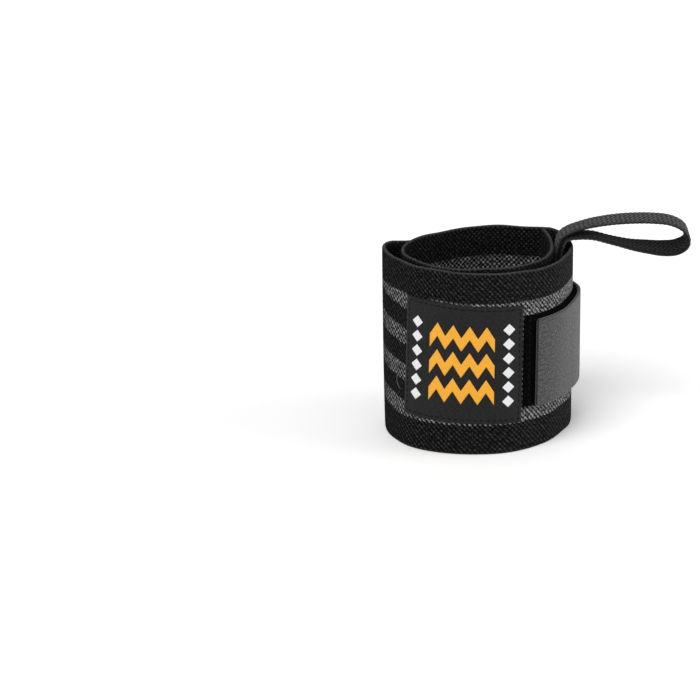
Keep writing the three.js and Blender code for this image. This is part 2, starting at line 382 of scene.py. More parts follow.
@dataclass
class SmoothLine:
    """Centripetal curve through a few stops, measured by its length."""

    stops: np.ndarray
    density: int = 40

    def __post_init__(self) -> None:
        """Sample the curve finely and measure it."""
        stops = np.asarray(self.stops, float)
        first, last = 2 * stops[0] - stops[1], 2 * stops[-1] - stops[-2]
        padded = np.concatenate([[first], stops, [last]])
        spans = np.sqrt(np.linalg.norm(np.diff(padded[:, :3], axis=0), axis=1))
        share = np.linspace(0, 1, self.density, endpoint=False)[:, None]
        pieces = []
        for index in range(len(stops) - 1):
            a, b, c, d = padded[index : index + 4]
            before, here, after = spans[index : index + 3]
            slope_in = here * ((b - a) / before - (c - a) / (before + here) + (c - b) / here)
            slope_out = here * ((c - b) / here - (d - b) / (here + after) + (d - c) / after)
            pieces.append(
                (2 * share**3 - 3 * share**2 + 1) * b
                + (share**3 - 2 * share**2 + share) * slope_in
                + (3 * share**2 - 2 * share**3) * c
                + (share**3 - share**2) * slope_out
            )
        self.samples = np.concatenate([*pieces, stops[-1:]])
        steps = np.linalg.norm(np.diff(self.samples[:, :3], axis=0), axis=1)
        self.measured = np.concatenate([[0], np.cumsum(steps)])

    @property
    def total(self) -> float:
        """The curve's whole length."""
        return float(self.measured[-1])

    def at(self, length: np.ndarray) -> np.ndarray:
        """Points, with any further columns, at lengths along the curve."""
        columns = [np.interp(length, self.measured, column) for column in self.samples.T]
        return np.stack(columns, axis=-1)


def edged_samples(length: float, pitch: float, edges: tuple[float, ...]) -> np.ndarray:
    """Places along a length, close together near both ends.

    Args:
        length: the whole length.
        pitch: spacing in the middle.
        edges: distances of the close ones from each end, from 0 up.

    Returns:
        Rising places from 0 to the length.
    """
    count = max(int(round((length - 2 * edges[-1]) / pitch)), 1)
    middle = np.linspace(edges[-1], length - edges[-1], count + 1)
    near = np.array(edges[:-1])
    return np.concatenate([near, middle, length - near[::-1]])


def rounded_section(
    width: float, thickness: float, rows: int, turns: tuple[float, ...], blend: float = 0.0
) -> tuple[np.ndarray, np.ndarray, np.ndarray]:
    """Half the section of a strip with rounded edges.

    Args:
        width: the strip's width.
        thickness: its thickness.
        rows: how many equal steps its flat face has.
        turns: places of the points round each edge, in degrees.
        blend: how far the outermost rows of the face belong to the edge.

    Returns:
        Heights up the strip, ways off its middle, and shares of the rounded edge.
    """
    half = thickness / 2
    turn = np.radians(turns)
    curl = half * (1 - np.cos(turn))
    face = np.linspace(half, width - half, rows + 1)
    up = np.concatenate([curl, face, width - curl[::-1]])
    off = np.concatenate([half * np.sin(turn), np.full(rows + 1, half), half * np.sin(turn[::-1])])
    on_face = np.zeros(rows + 1)
    on_face[[0, -1]] = blend
    edge = np.concatenate([np.ones(len(turn)), on_face, np.ones(len(turn))])
    return up, off, edge


def stepped_path(corners: list[tuple[float, float]], step: float, even: bool = False) -> np.ndarray:
    """Walk along the straight lines between corners.

    Args:
        corners: the corners, as lengths along and up a piece.
        step: how far apart the places on a line lie.
        even: whether each line's steps are stretched alike, so that the last ends at its corner.

    Returns:
        The places from the first corner to the last.
    """
    places = []
    for first, second in zip(corners, corners[1:]):
        steps = math.dist(first, second) / step
        share = np.linspace(0, 1, int(steps), endpoint=False) if even else np.arange(0, 1, 1 / steps)
        places.extend(np.add(first, np.outer(share, np.subtract(second, first))))
    return np.array([*places, corners[-1]])


def cells(grid: np.ndarray) -> np.ndarray:
    """The four corners of every cell of a grid, in order round it."""
    corners = [grid[:-1, :-1], grid[1:, :-1], grid[1:, 1:], grid[:-1, 1:]]
    return np.stack(corners, axis=-1).reshape(-1, 4)


def added(name: str, data: bpy.types.ID) -> bpy.types.Object:
    """Put an object into the scene.

    Args:
        name: its name.
        data: its mesh, light or camera data.

    Returns:
        The object.
    """
    thing = bpy.data.objects.new(name, data)
    bpy.context.scene.collection.objects.link(thing)
    return thing


def closed_sheet(
    name: str,
    front: np.ndarray,
    back: np.ndarray,
    surface: np.ndarray,
    edge: np.ndarray,
) -> bpy.types.Object:
    """Join a front and a back grid of points into one closed piece.

    Args:
        name: the piece's name.
        front: grid of points of the front face.
        back: grid of points of the back face, of the same size.
        surface: grid of (along, up) lengths that the materials read.
        edge: grid of 0 to 1, how far a point belongs to the rounded edge.

    Returns:
        The new object.
    """
    columns, rows = front.shape[:2]
    order = np.arange(2 * columns * rows).reshape(2, columns, rows)
    rim = np.concatenate(
        [order[:, :, 0], order[:, -1, 1:], order[:, -2::-1, -1], order[:, 0, -2:0:-1]], axis=1
    )
    ahead = np.roll(rim, -1, axis=1)
    wall = np.stack([rim[0], rim[1], ahead[1], ahead[0]], axis=-1)
    faces = np.concatenate([cells(order[0]), cells(order[1])[:, [0, 3, 2, 1]], wall])
    points = np.concatenate([front.reshape(-1, 3), back.reshape(-1, 3)])
    mesh = bpy.data.meshes.new(name)
    mesh.from_pydata(points.tolist(), [], faces.tolist())
    corners = np.empty(len(mesh.loops), np.int32)
    mesh.loops.foreach_get("vertex_index", corners)
    flat = np.tile(surface.reshape(-1, 2), (2, 1))
    layer = mesh.uv_layers.new(name="surface")
    layer.data.foreach_set("uv", flat[corners].astype(np.float32).ravel())
    side = np.repeat([Side.FRONT.value, Side.BACK.value], columns * rows)
    for title, values in (("side", side), ("edge", np.tile(edge.ravel(), 2))):
        mesh.attributes.new(title, "FLOAT", "POINT").data.foreach_set("value", values.astype(np.float32))
    mesh.polygons.foreach_set("use_smooth", np.ones(len(mesh.polygons), bool))
    if signed_volume(mesh) < 0:
        mesh.flip_normals()
    mesh.update()
    return added(name, mesh)


def signed_volume(mesh: bpy.types.Mesh) -> float:
    """Volume of a closed mesh.

    Args:
        mesh: the mesh.

    Returns:
        Its volume, below zero where its faces point inwards.
    """
    mesh.calc_loop_triangles()
    triangles = np.empty(len(mesh.loop_triangles) * 3, np.int32)
    mesh.loop_triangles.foreach_get("vertices", triangles)
    points = np.empty(len(mesh.vertices) * 3)
    mesh.vertices.foreach_get("co", points)
    a, b, c = points.reshape(-1, 3)[triangles.reshape(-1, 3)].transpose(1, 0, 2)
    return float(np.einsum("ij,ij->i", a, np.cross(b, c)).sum() / 6)


class Value:
    """A number, vector or colour on its way through a material, with plain arithmetic."""

    def __init__(self, recipe: "Recipe", socket: bpy.types.NodeSocket) -> None:
        """Keep the socket that the value comes from."""
        self.recipe = recipe
        self.socket = socket

    def __add__(self, other: object) -> "Value":
        """This and another value together."""
        return self.recipe.math("ADD", self, other)

    def __sub__(self, other: object) -> "Value":
        """This value less another."""
        return self.recipe.math("SUBTRACT", self, other)

    def __rsub__(self, other: float) -> "Value":
        """A plain number less this value."""
        return self.recipe.math("SUBTRACT", other, self)

    def __mul__(self, other: object) -> "Value":
        """This value times another."""
        return self.recipe.math("MULTIPLY", self, other)

    def __truediv__(self, other: object) -> "Value":
        """This value shared by another."""
        return self.recipe.math("DIVIDE", self, other)

    def sine(self) -> "Value":
        """Sine of an angle in radians."""
        return self.recipe.math("SINE", self)

    def cosine(self) -> "Value":
        """Cosine of an angle in radians."""
        return self.recipe.math("COSINE", self)


class Recipe:
    """One material under construction: a surface shader and the nodes that feed it."""

    MIX_FIRST = 6
    MIX_SECOND = 7
    MIX_RESULT = 2

    def __init__(self, name: str, **sockets: float) -> None:
        """Start a material.

        Args:
            name: its name.
            sockets: the shader's own sockets, named in snake case.
        """
        self.material = bpy.data.materials.new(name)
        self.material.use_nodes = True
        self.tree = self.material.node_tree
        self.shader = self.tree.nodes["Principled BSDF"]
        for title, value in sockets.items():
            self.feed(self.shader.inputs[title.replace("_", " ").title().replace("Ior", "IOR")], value)

    def feed(self, socket: bpy.types.NodeSocket, source: object) -> None:
        """Link a socket to a value, or set it by itself.

        Args:
            socket: the socket to feed.
            source: a value, a number, or a colour of three channels.
        """
        if isinstance(source, Value):
            self.tree.links.new(source.socket, socket)
        else:
            socket.default_value = (*source, 1.0) if isinstance(source, tuple) else source

    def node(self, kind: str, sources: dict[object, object], **settings: str) -> bpy.types.Node:
        """Add one node.

        Args:
            kind: its type, without the words that all shader nodes share.
            sources: what feeds its inputs, by their names or places.
            settings: its options.

        Returns:
            The node.
        """
        node = self.tree.nodes.new(f"ShaderNode{kind}")
        for option, setting in settings.items():
            setattr(node, option, setting)
        for place, source in sources.items():
            self.feed(node.inputs[place], source)
        return node

    def math(self, operation: str, *values: object) -> Value:
        """Result of one math step."""
        return Value(self, self.node("Math", dict(enumerate(values)), operation=operation).outputs[0])

    def attribute(self, name: str) -> Value:
        """A number that the mesh carries at its points."""
        return Value(self, self.node("Attribute", {}, attribute_name=name).outputs["Fac"])

    def outside(self) -> Value:
        """1 on the front face of a piece, 0 on its back."""
        return self.math("GREATER_THAN", self.attribute("side"), 0.5)

    def surface(self) -> tuple[Value, Value]:
        """Read where a point lies on its piece.

        Returns:
            Lengths along and up the piece.
        """
        source = Value(self, self.node("UVMap", {}, uv_map="surface").outputs["UV"])
        parts = self.node("SeparateXYZ", {0: source})
        return Value(self, parts.outputs[0]), Value(self, parts.outputs[1])

    def vector(self, *values: object) -> Value:
        """Three numbers as one vector."""
        return Value(self, self.node("CombineXYZ", dict(enumerate(values))).outputs[0])

    def noise(self, vector: Value, scale: float, detail: float) -> Value:
        """Smooth noise from 0 to 1."""
        sources = {"Vector": vector, "Scale": scale, "Detail": detail}
        return Value(self, self.node("TexNoise", sources).outputs["Fac"])

    def grain(self, along: Value, up: Value, grain: Grain) -> Value:
        """Noise with its own number of lumps along and up."""
        return self.noise(self.vector(along * grain.along, up * grain.up, grain.seed), 1.0, grain.detail)

    def chance(self, vector: Value) -> Value:
        """A number from 0 to 1 of its own for each whole place."""
        return Value(self, self.node("TexWhiteNoise", {"Vector": vector}).outputs["Value"])

    def ease(self, value: Value, ramp: Ramp) -> Value:
        """Take a value over a ramp."""
        sources = dict(enumerate((value, *ramp)))
        return Value(self, self.node("MapRange", sources, interpolation_type="SMOOTHSTEP").outputs[0])

    def within(self, value: Value, low: float, high: float, soft: float) -> Value:
        """1 between two values, 0 beyond them, over a soft step."""
        rising = self.ease(value, Ramp(low - soft, low + soft))
        return rising * self.ease(value, Ramp(high - soft, high + soft, 1.0, 0.0))

    def blend(self, factor: Value, first: object, second: object) -> Value:
        """Mix two colours, each a value or three channels."""
        sources = {0: factor, self.MIX_FIRST: first, self.MIX_SECOND: second}
        return Value(self, self.node("Mix", sources, data_type="RGBA").outputs[self.MIX_RESULT])

    def scaled(self, colour: Value, factor: Value) -> Value:
        """A colour made lighter or darker."""
        sources = {0: colour, "Scale": factor}
        return Value(self, self.node("VectorMath", sources, operation="SCALE").outputs[0])

    def bump(self, height: Value, distance: float) -> None:
        """Raise the surface by a height from 0 to 1."""
        sources = {"Height": height, "Distance": distance, "Strength": 1.0}
        self.feed(self.shader.inputs["Normal"], Value(self, self.node("Bump", sources).outputs["Normal"]))

    def colour(self, source: object) -> None:
        """Give the shader its base colour."""
        self.feed(self.shader.inputs["Base Color"], source)


def grey(value: float) -> tuple[float, float, float]:
    """A neutral colour, very slightly cool."""
    return (value, value, value * 1.03)


@dataclass(frozen=True)
class KnitFinish:
    """Coarse elastic knit: black yarn, with grey yarn where the pattern shows, and a painted highlight
    along the rounded edges.
    """

    pitch: float
    row: float
    border: float
    width: float
    stripe_pitch: float
    stripe_share: float
    stripe_slope: float
    stripe_shift: float
    plain_from: float
    plain_to: float
    black: float = 0.001
    black_yarn: float = 0.022
    grey_gap: float = 0.008
    grey_yarn: float = 0.15
    # Painted highlight: the light flecked tones that the rounded edges and the strap's ends are painted
    # with, standing in for the light on the rims.
    rim_highlight_low: float = 0.027
    rim_highlight_high: float = 0.117
    inside_gap: float = 0.25
    slant: float = 0.3
    fray: float = 0.4
    wander: float = 0.7
    wander_up: float = 0.7
    soft_zone: float = 0.3 * MM
    soft_stripe: float = 0.02
    fleck: float = 0.35
    strand_height: float = 0.45
    yarn_height: float = 0.8
    relief: float = 0.45 * MM
    stitch_seed: float = 3.0
    wander_grain: Grain = Grain(0.7, 0.7)
    fleck_grain: Grain = Grain(1.7, 2.3, seed=7.0)
    mottle_grain: Grain = Grain(0.9, 0.9, 4.0)
    strand_grain: Grain = Grain(3.0, 9.0, 3.0)
    yarn_ramp: Ramp = Ramp(-0.5, 0.15)
    black_ramp: Ramp = Ramp(-0.1, 0.7)
    fleck_ramp: Ramp = Ramp(0.46, 0.6)
    mottle_ramp: Ramp = Ramp(0.36, 0.64, 0.3, 1.75)
    chance_ramp: Ramp = Ramp(0.0, 1.0, 0.82, 1.18)
    rim_highlight_ramp: Ramp = Ramp(0.4, 0.95)

    def material(self) -> bpy.types.Material:
        """Make the strap's material.

        Returns:
            The material.
        """
        recipe = Recipe("knit_elastic", roughness=0.9, specular_ior_level=0.06)
        along, up = recipe.surface()
        column = along / (self.pitch / 2)
        row = up / self.row
        wander = (recipe.grain(column, row, self.wander_grain) - 0.5) * self.wander
        column_bent = column + wander
        row_bent = row - wander * self.wander_up
        outside = recipe.outside()
        inside = 1.0 - outside
        column_turn = column_bent * math.pi
        row_turn = row_bent * math.pi
        crossed = column_turn.sine() * row_turn.sine() * (outside * self.slant)
        wave = column_turn.cosine() * row_turn.cosine() + crossed
        ragged = wave * self.fray
        along_cell = (column_bent + ragged) * (self.pitch / 2)
        up_cell = (row_bent + ragged) * self.row
        middle = recipe.within(up_cell, self.border, self.width - self.border, self.soft_zone)
        slid = along_cell * self.stripe_slope + self.stripe_shift
        phase = recipe.math("FRACT", (up_cell - slid) / self.stripe_pitch)
        low, high = (1 - self.stripe_share) / 2, (1 + self.stripe_share) / 2
        stripe = recipe.within(phase, low, high, self.soft_stripe)
        plain = recipe.within(along_cell, self.plain_from, self.plain_to, self.soft_zone)
        shown = recipe.math("MAXIMUM", recipe.math("MAXIMUM", stripe, plain), inside)
        fleck = recipe.ease(recipe.grain(column, row, self.fleck_grain), self.fleck_ramp) * self.fleck
        lit = recipe.math("MAXIMUM", recipe.ease(wave, self.black_ramp), fleck)
        black = recipe.blend(lit, grey(self.black), grey(self.black_yarn))
        yarn = recipe.ease(wave - inside * self.inside_gap, self.yarn_ramp)
        pale = recipe.blend(yarn, grey(self.grey_gap), grey(self.grey_yarn))
        cloth = recipe.blend(middle * shown, black, pale)
        stitch = recipe.vector(
            recipe.math("ROUND", column_bent), recipe.math("ROUND", row_bent), self.stitch_seed
        )
        mottle = recipe.ease(recipe.grain(column, row, self.mottle_grain), self.mottle_ramp)
        cloth = recipe.scaled(cloth, mottle * recipe.ease(recipe.chance(stitch), self.chance_ramp))
        # Painted highlight along the rims: the rounded edges and the ends blend to a lighter flecked tone.
        rim = recipe.ease(recipe.attribute("edge"), self.rim_highlight_ramp)
        rim_highlight = recipe.blend(fleck, grey(self.rim_highlight_low), grey(self.rim_highlight_high))
        recipe.colour(recipe.blend(rim, cloth, rim_highlight))
        strand = recipe.grain(column, row, self.strand_grain)
        recipe.bump(strand * self.strand_height + yarn * self.yarn_height, self.relief)
        return recipe.material


@dataclass(frozen=True)
class SatinFinish:
    """Smooth woven label: fine ribs and a dull shine."""

    gap: float = 0.0036
    yarn: float = 0.0126
    hem: float = 0.0047
    rib: float = 0.55 * MM
    rib_height: float = 0.25
    relief: float = 0.09 * MM
    thread_grain: Grain = Grain(900, 3200, 3.0)
    cloud_grain: Grain = Grain(90, 90)
    thread_ramp: Ramp = Ramp(0.38, 0.62)
    cloud_ramp: Ramp = Ramp(0.3, 0.7, 0.88, 1.14)
    hem_ramp: Ramp = Ramp(0.3, 1.0)

    def material(self) -> bpy.types.Material:
        """Make the label's material.

        Returns:
            The material.
        """
        recipe = Recipe("label_satin", roughness=0.6, specular_ior_level=0.15, sheen_weight=0.02)
        along, up = recipe.surface()
        thread = recipe.grain(along, up, self.thread_grain)
        cloud = recipe.ease(recipe.grain(along, up, self.cloud_grain), self.cloud_ramp)
        cloth = recipe.blend(recipe.ease(thread, self.thread_ramp), grey(self.gap), grey(self.yarn))
        hem = recipe.ease(recipe.attribute("edge"), self.hem_ramp)
        recipe.colour(recipe.blend(hem, recipe.scaled(cloth, cloud), grey(self.hem)))
        ribs = (up * (2 * math.pi / self.rib)).sine()
        recipe.bump(ribs * self.rib_height + thread, self.relief)
        return recipe.material


@dataclass(frozen=True)
class MotifFinish:
    """Raised satin stitching of the label's pattern."""

    name: str
    tone: tuple[float, float, float]
    thread: float = 0.42 * MM
    gap: float = 0.84
    rib_height: float = 0.4
    relief: float = 0.06 * MM
    fray_grain: Grain = Grain(500, 2500)
    fray_depth: float = 0.3
    fray_base: float = 0.82
    rib_ramp: Ramp = Ramp(-1.0, 1.0)

    def material(self) -> bpy.types.Material:
        """Make the motif's material.

        Returns:
            The material.
        """
        recipe = Recipe(self.name, roughness=0.6, specular_ior_level=0.2)
        along, up = recipe.surface()
        ribs = (up * (2 * math.pi / self.thread)).sine()
        fray = recipe.grain(along, up, self.fray_grain)
        dark = tuple(channel * self.gap for channel in self.tone)
        cloth = recipe.blend(recipe.ease(ribs, self.rib_ramp), dark, self.tone)
        recipe.colour(recipe.scaled(cloth, fray * self.fray_depth + self.fray_base))
        recipe.bump(ribs * self.rib_height + fray, self.relief)
        return recipe.material


@dataclass(frozen=True)
class PileFinish:
    """Brushed loops: nearly black, with the raised ones a little lighter."""

    gap: float = 0.001
    loop: float = 0.006
    clump_height: float = 0.7
    relief: float = 0.5 * MM
    loop_grain: Grain = Grain(1500, 1500, 4.0, 1500)
    clump_grain: Grain = Grain(420, 420, 2.0, 420)
    loop_ramp: Ramp = Ramp(0.4, 0.75)

    def material(self) -> bpy.types.Material:
        """Make the pile patch's material.

        Returns:
            The material.
        """
        recipe = Recipe("pile_velvet", roughness=1.0, specular_ior_level=0.0, sheen_weight=0.005)
        along, up = recipe.surface()
        loops = recipe.grain(along, up, self.loop_grain)
        clump = recipe.grain(along, up, self.clump_grain)
        recipe.colour(recipe.blend(recipe.ease(loops, self.loop_ramp), grey(self.gap), grey(self.loop)))
        recipe.bump(clump * self.clump_height + loops, self.relief)
        return recipe.material


@dataclass(frozen=True)
class HookFinish:
    """Closure tab: a fine grey weave on the back, dark hooks inside and dark cut edges."""

    gap: float = 0.0204
    yarn: float = 0.0425
    hooks: float = 0.008
    thread: float = 0.95 * MM
    weave_height: float = 0.3
    relief: float = 0.16 * MM
    grain: Grain = Grain(2100, 2100, 4.0)
    cloud: Grain = Grain(950, 950)
    weave_ramp: Ramp = Ramp(-0.8, 0.4)
    grain_ramp: Ramp = Ramp(0.36, 0.64, 0.55, 1.5)
    cloud_ramp: Ramp = Ramp(0.4, 0.6, 0.5, 1.5)
    face_ramp: Ramp = Ramp(0.3, 0.8, 1.0, 0.0)

    def material(self) -> bpy.types.Material:
        """Make the closure tab's material.

        Returns:
            The material.
        """
        recipe = Recipe("hook_tape", roughness=0.8, specular_ior_level=0.1, sheen_weight=0.29)
        along, up = recipe.surface()
        turn = 2 * math.pi / self.thread
        weave = (along * turn).sine() * (up * turn).sine()
        grain = recipe.grain(along, up, self.grain)
        cloud = recipe.ease(recipe.grain(along, up, self.cloud), self.cloud_ramp)
        cloth = recipe.blend(recipe.ease(weave, self.weave_ramp), grey(self.gap), grey(self.yarn))
        cloth = recipe.scaled(cloth, recipe.ease(grain, self.grain_ramp) * cloud)
        face = recipe.outside() * recipe.ease(recipe.attribute("edge"), self.face_ramp)
        recipe.colour(recipe.blend(face, grey(self.hooks), cloth))
        recipe.bump(weave * self.weave_height + grain, self.relief)
        return recipe.material


@dataclass(frozen=True)
class BraidFinish:
    """Herringbone tape of the thumb loop, with painted shade that darkens its back face."""

    rib: float
    course: float
    gap: float = 0.0043
    yarn: float = 0.072
    edge: float = 0.0324
    # Painted shade: the back face's tone is scaled down to this share.
    inside: float = 0.18
    fibre_height: float = 0.35
    yarn_height: float = 0.8
    relief: float = 0.2 * MM
    fibre_grain: Grain = Grain(900, 2400, 3.0)
    fibre_ramp: Ramp = Ramp(0.35, 0.65, 0.6, 1.4)
    yarn_ramp: Ramp = Ramp(-0.8, 0.6)
    edge_ramp: Ramp = Ramp(0.2, 0.9)

    def material(self) -> bpy.types.Material:
        """Make the thumb loop's material.

        Returns:
            The material.
        """
        recipe = Recipe("loop_elastic", roughness=0.75, specular_ior_level=0.12, sheen_weight=0.04)
        along, up = recipe.surface()
        zigzag = recipe.math("PINGPONG", up, self.course)
        wave = ((along + zigzag) * (2 * math.pi / self.rib)).sine()
        fibre = recipe.grain(along, up, self.fibre_grain)
        yarn = recipe.ease(wave, self.yarn_ramp)
        cloth = recipe.blend(yarn, grey(self.gap), grey(self.yarn))
        cloth = recipe.blend(recipe.ease(recipe.attribute("edge"), self.edge_ramp), cloth, grey(self.edge))
        # Painted shade: the back face of the tape is darkened, while the front keeps its full tone.
        shade = recipe.ease(recipe.attribute("side"), Ramp(0.0, 1.0, self.inside, 1.0))
        recipe.colour(recipe.scaled(cloth, shade * recipe.ease(fibre, self.fibre_ramp)))
        recipe.bump(fibre * self.fibre_height + yarn * self.yarn_height, self.relief)
        return recipe.material


@dataclass(frozen=True)
class ThreadFinish:
    """Twisted sewing thread."""

    name: str = "sewing_thread"
    tone: float = 0.005
    gap: float = 0.6
    yarn: float = 1.5
    twist: float = 4000.0
    detail: float = 2.0
    relief: float = 0.08 * MM

    def material(self) -> bpy.types.Material:
        """Make the thread's material.

        Returns:
            The material.
        """
        recipe = Recipe(self.name, roughness=0.7, specular_ior_level=0.05)
        place = Value(recipe, recipe.node("TexCoord", {}).outputs["Object"])
        twist = recipe.noise(place, self.twist, self.detail)
        recipe.colour(recipe.blend(twist, grey(self.tone * self.gap), grey(self.tone * self.yarn)))
        recipe.bump(twist, self.relief)
        return recipe.material


@dataclass(kw_only=True)
class Patch:
    """A flat piece sewn on the outer face of the strap, at half its height."""

    roll: Roll
    name: str
    start: float
    length: float
    height: float
    thickness: float
    tilt: float = 0.0
    pitch: float = 1 * MM
    seat: float = 0.12 * MM
    soft_edge: float = 0.5 * MM
    edge_shares: tuple[float, ...] = (0.0, 0.35, 1.0, 2.0)
    edge_thickness: float = 0.3
    stitch_inset: float = 1.6 * MM
    stitch_step: float = 1.2 * MM
    puff: float = 0.0
    puff_along: float = 3.1 * MM
    puff_up: float = 7.3 * MM
    roughness: float = 0.0
    seed: int = 7

    @property
    def face(self) -> float:
        """Way of the outer face off the strap's middle."""
        return self.roll.thickness / 2 + self.seat + self.thickness

    def points(self, along: np.ndarray, up: np.ndarray, off: np.ndarray) -> np.ndarray:
        """Points over the patch.

        Args:
            along: lengths from its lower right corner.
            up: heights above its lower edge.
            off: ways off the strap's middle, outwards.

        Returns:
            One point for each, in the frame.
        """
        drop = math.tan(math.radians(self.tilt)) * (along - self.length / 2)
        height = (self.roll.width - self.height) / 2 + drop + up
        return self.roll.points(self.start + along, height / self.roll.width, off)

    def build(self, material: bpy.types.Material) -> bpy.types.Object:
        """Make the patch, with soft edges that meet the strap.

        Args:
            material: its finish.

        Returns:
            The patch's object.
        """
        edges = tuple(share * self.soft_edge for share in self.edge_shares)
        along = edged_samples(self.length, self.pitch, edges)
        up = edged_samples(self.height, self.pitch, edges)
        grid_along, grid_up = np.meshgrid(along, up, indexing="ij")
        from_end = np.minimum(grid_along, self.length - grid_along)
        from_side = np.minimum(grid_up, self.height - grid_up)
        inside = np.clip(np.minimum(from_end, from_side) / self.soft_edge, 0, 1)
        crown = np.sqrt(np.clip(1 - (1 - inside) ** 2, 0, 1))
        base = self.roll.thickness / 2 + self.seat
        noise = np.random.default_rng(self.seed).normal(0, 1, grid_along.shape) * self.roughness
        ripple = np.sin(grid_along / self.puff_along + 1) * np.sin(grid_up / self.puff_up)
        thick = self.thickness * (self.edge_thickness + (1 - self.edge_thickness) * crown)
        front = self.points(grid_along, grid_up, base + thick + crown * (noise + self.puff * ripple))
        back = self.points(grid_along, grid_up, np.full_like(thick, base))
        surface = np.stack([grid_along, grid_up], axis=-1)
        piece = closed_sheet(self.name, front, back, surface, 1 - inside)
        piece.data.materials.append(material)
        return piece

    def sewing(self) -> np.ndarray:
        """Line of stitches round the patch's face.

        Returns:
            Its points.
        """
        near = self.stitch_inset
        far, top = self.length - near, self.height - near
        corners = [(near, near), (far, near), (far, top), (near, top), (near, near)]
        along, up = stepped_path(corners, self.stitch_step).T
        return self.points(along, up, np.full_like(along, self.face + STITCH_LIFT))


@dataclass(kw_only=True)
class Label(Patch):
    """The satin label on the front of the outer turn."""

    name: str = "label_panel"
    length: float = 50 * MM
    height: float = 50 * MM
    thickness: float = 0.5 * MM
    tilt: float = 1.8
    puff: float = 0.05 * MM


@dataclass(kw_only=True)
class PilePatch(Patch):
    """The brushed half of the closure, beside the label."""

    name: str = "pile_patch_cloth"
    length: float = 83 * MM
    height: float = 39 * MM
    thickness: float = 1.5 * MM
    pitch: float = 0.7 * MM
    soft_edge: float = 0.9 * MM
    stitch_inset: float = 1.8 * MM
    roughness: float = 0.09 * MM


@dataclass
class Strap:
    """The whole woven strap, one wall with a knit relief on both faces and rounded edges."""

    roll: Roll
    pitch: float = 2.05 * MM
    row: float = 1.07 * MM
    relief: float = 0.1 * MM
    relief_fade: float = 4.1 * MM
    rim_relief: float = 0.3
    border: float = 12.6 * MM
    stripe_pitch: float = 15.2 * MM
    stripe_share: float = 0.45
    stripe_slope: float = 0.17
    lowest_stripe: float = 15.3 * MM
    plain_margin: float = 6 * MM
    plain_under_label: float = 0.8
    edge_turns: tuple[float, ...] = (16.0, 50.0)
    edge_blend: float = 0.5
    hem_places: tuple[float, ...] = (3 * MM, 9 * MM)
    hem_inset: float = 3 * MM
    hem_lift: float = 0.1 * MM

    def finish(self, label: Label, pile: PilePatch) -> KnitFinish:
        """Set the pattern out against the pieces that are sewn on.

        Args:
            label: the label, whose far end the stripes are measured from.
            pile: the pile patch, which lies on plain grey.

        Returns:
            The knit's finish.
        """
        label_end = label.start + label.length
        return KnitFinish(
            pitch=self.pitch,
            row=self.row,
            border=self.border,
            width=self.roll.width,
            stripe_pitch=self.stripe_pitch,
            stripe_share=self.stripe_share,
            stripe_slope=self.stripe_slope,
            stripe_shift=self.lowest_stripe - self.stripe_slope * label_end - self.stripe_pitch / 2,
            plain_from=pile.start - self.plain_margin,
            plain_to=label.start + self.plain_under_label * label.length,
        )

    def build(self, finish: KnitFinish) -> bpy.types.Object:
        """Make the strap.

        Args:
            finish: its finish.

        Returns:
            The strap's object.
        """
        roll = self.roll
        columns = int(round(roll.length / (self.pitch / 2)))
        rows = int(round((roll.width - roll.thickness) / self.row))
        up, off, edge = rounded_section(roll.width, roll.thickness, rows, self.edge_turns, self.edge_blend)
        along = np.linspace(0, roll.length, columns + 1)
        grid_along, grid_up = np.meshgrid(along, up, indexing="ij")
        checker = np.where(np.add.outer(np.arange(columns + 1), np.arange(len(up))) % 2, -1, 1)
        from_end = np.minimum(grid_along, roll.length - grid_along)
        depth = self.relief * np.where(edge > 0, self.rim_relief, 1.0)
        depth = depth * np.clip(from_end / self.relief_fade, 0, 1)
        way = off + depth * checker
        front, back = (roll.points(grid_along, grid_up / roll.width, side * way) for side in (1, -1))
        for face in (front, back):
            face[..., 2] = np.maximum(face[..., 2], 0)
        edges = np.tile(edge, (columns + 1, 1))
        # The ends count as edge too, so they also get the knit's painted rim highlight.
        edges[[0, -1]] = 1
        piece = closed_sheet("strap_knit", front, back, np.stack([grid_along, grid_up], axis=-1), edges)
        piece.data.materials.append(finish.material())
        return piece

    def sewing(self) -> list[np.ndarray]:
        """Upright lines of stitches near both ends of the strap.

        Returns:
            The points of each line.
        """
        roll = self.roll
        up = np.arange(self.hem_inset, roll.width - self.hem_inset, STITCH_STEP)
        face = roll.thickness / 2 + self.hem_lift
        lines = []
        for place in self.hem_places:
            for along, off in ((place, -face), (roll.length - place, face)):
                lines.append(roll.points(np.full_like(up, along), up / roll.width, np.full_like(up, off)))
        return lines


